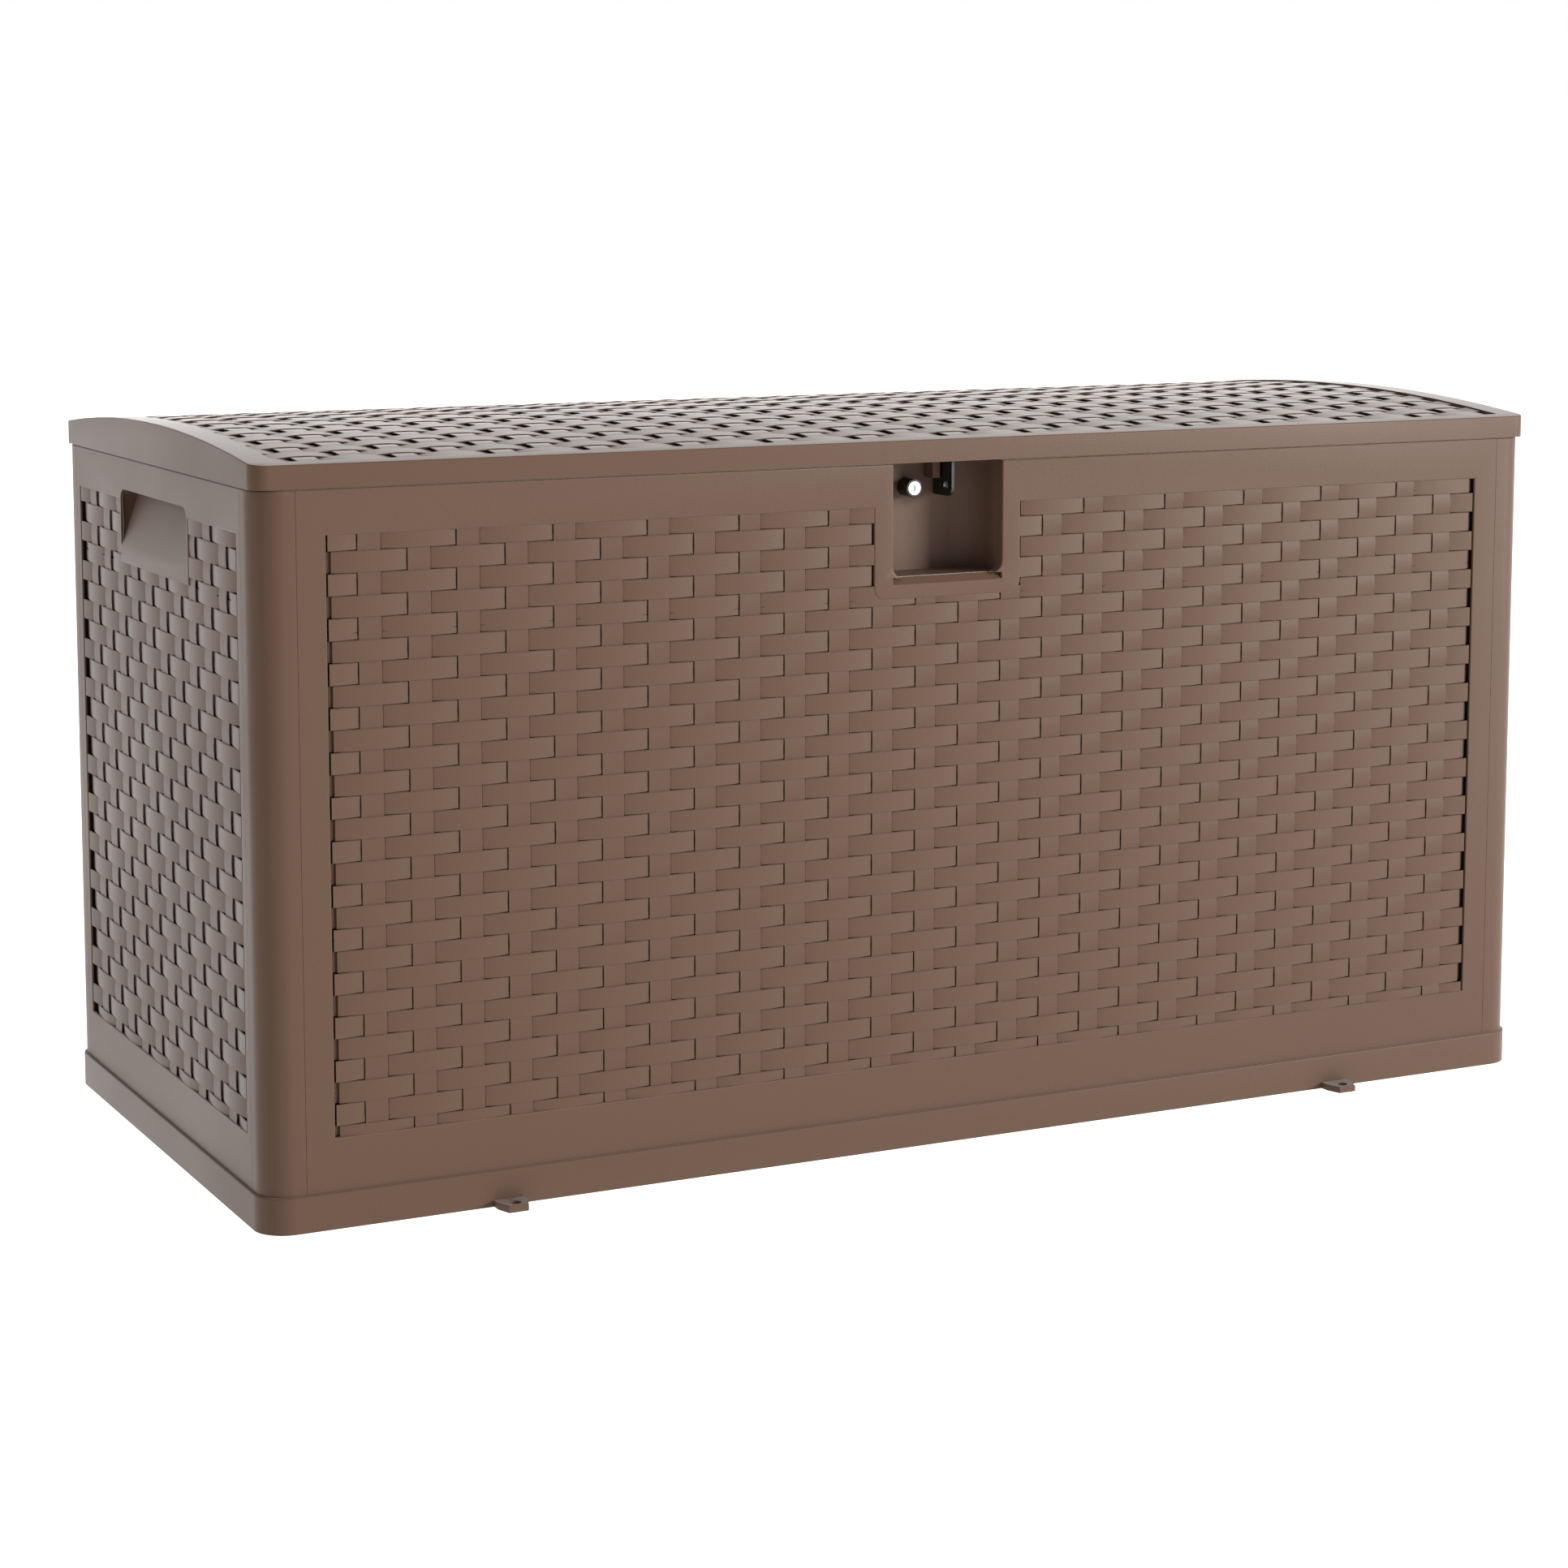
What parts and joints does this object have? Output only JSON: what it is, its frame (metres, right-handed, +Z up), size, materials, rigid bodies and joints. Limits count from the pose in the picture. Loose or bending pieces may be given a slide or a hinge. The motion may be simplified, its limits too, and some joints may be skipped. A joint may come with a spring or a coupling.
{
  "type": "deck storage box",
  "caption": "Rectangular resin deck storage box with woven-look walls, an arched rear-hinged lid, a recessed key lock with a padlock eye, finger scoops in its ends and floor anchors.",
  "frame": {"origin": "on the floor under the middle of the box", "axes": "+X along the length to the right, the front faces -Y, +Z up"},
  "size_m": [1.231, 0.592, 0.6269],
  "materials": {
    "resin": "moulded semi-gloss polypropylene, dark taupe brown, woven-look relief",
    "hinge_resin": "moulded filled nylon, dark brown",
    "black_steel": "black powder coat on steel",
    "chrome": "bright chrome plate",
    "zinc_steel": "zinc plated steel"
  },
  "bodies": {
    "box": {"anchor_back_left": "resin", "anchor_back_right": "resin", "anchor_front_left": "resin", "anchor_front_right": "resin", "back_panel": "resin", "base_tray": "resin", "front_panel": "resin", "hinge_leaf_body_left": "hinge_resin", "hinge_leaf_body_middle": "hinge_resin", "hinge_leaf_body_right": "hinge_resin", "hinge_pin_left": "zinc_steel", "hinge_pin_middle": "zinc_steel", "hinge_pin_right": "zinc_steel", "hinge_screws_body": "zinc_steel", "latch_housing": "resin", "latch_screws": "zinc_steel", "left_panel": "resin", "lock_barrel": "black_steel", "lock_nut": "zinc_steel", "post_back_left": "resin", "post_back_right": "resin", "post_front_left": "resin", "post_front_right": "resin", "right_panel": "resin"},
    "lid": {"brace_tube_back": "zinc_steel", "brace_tube_front": "zinc_steel", "hasp_plate": "black_steel", "hinge_leaf_lid_left": "hinge_resin", "hinge_leaf_lid_middle": "hinge_resin", "hinge_leaf_lid_right": "hinge_resin", "hinge_screws_lid": "zinc_steel", "lid_shell": "resin", "lock_keeper": "black_steel", "rain_strip_back": "resin", "rain_strip_front_left": "resin", "rain_strip_front_right": "resin", "rain_strip_left": "resin", "rain_strip_right": "resin", "striker_block": "resin", "striker_screws": "zinc_steel"},
    "lock": {"cam_screw": "zinc_steel", "lock_cam": "zinc_steel", "lock_plug": "chrome"}
  },
  "joints": [
    {"name": "lid_hinge", "type": "hinge", "parent": "box", "child": "lid", "pos_m": [0, 0.277, 0.5918], "axis": [-1, 0, 0], "range_deg": [0, 95]},
    {"name": "lock_turn", "type": "hinge", "parent": "box", "child": "lock", "pos_m": [-0.015, -0.2215, 0.567], "axis": [0, 1, 0], "range_deg": [0, 90]}
  ]
}
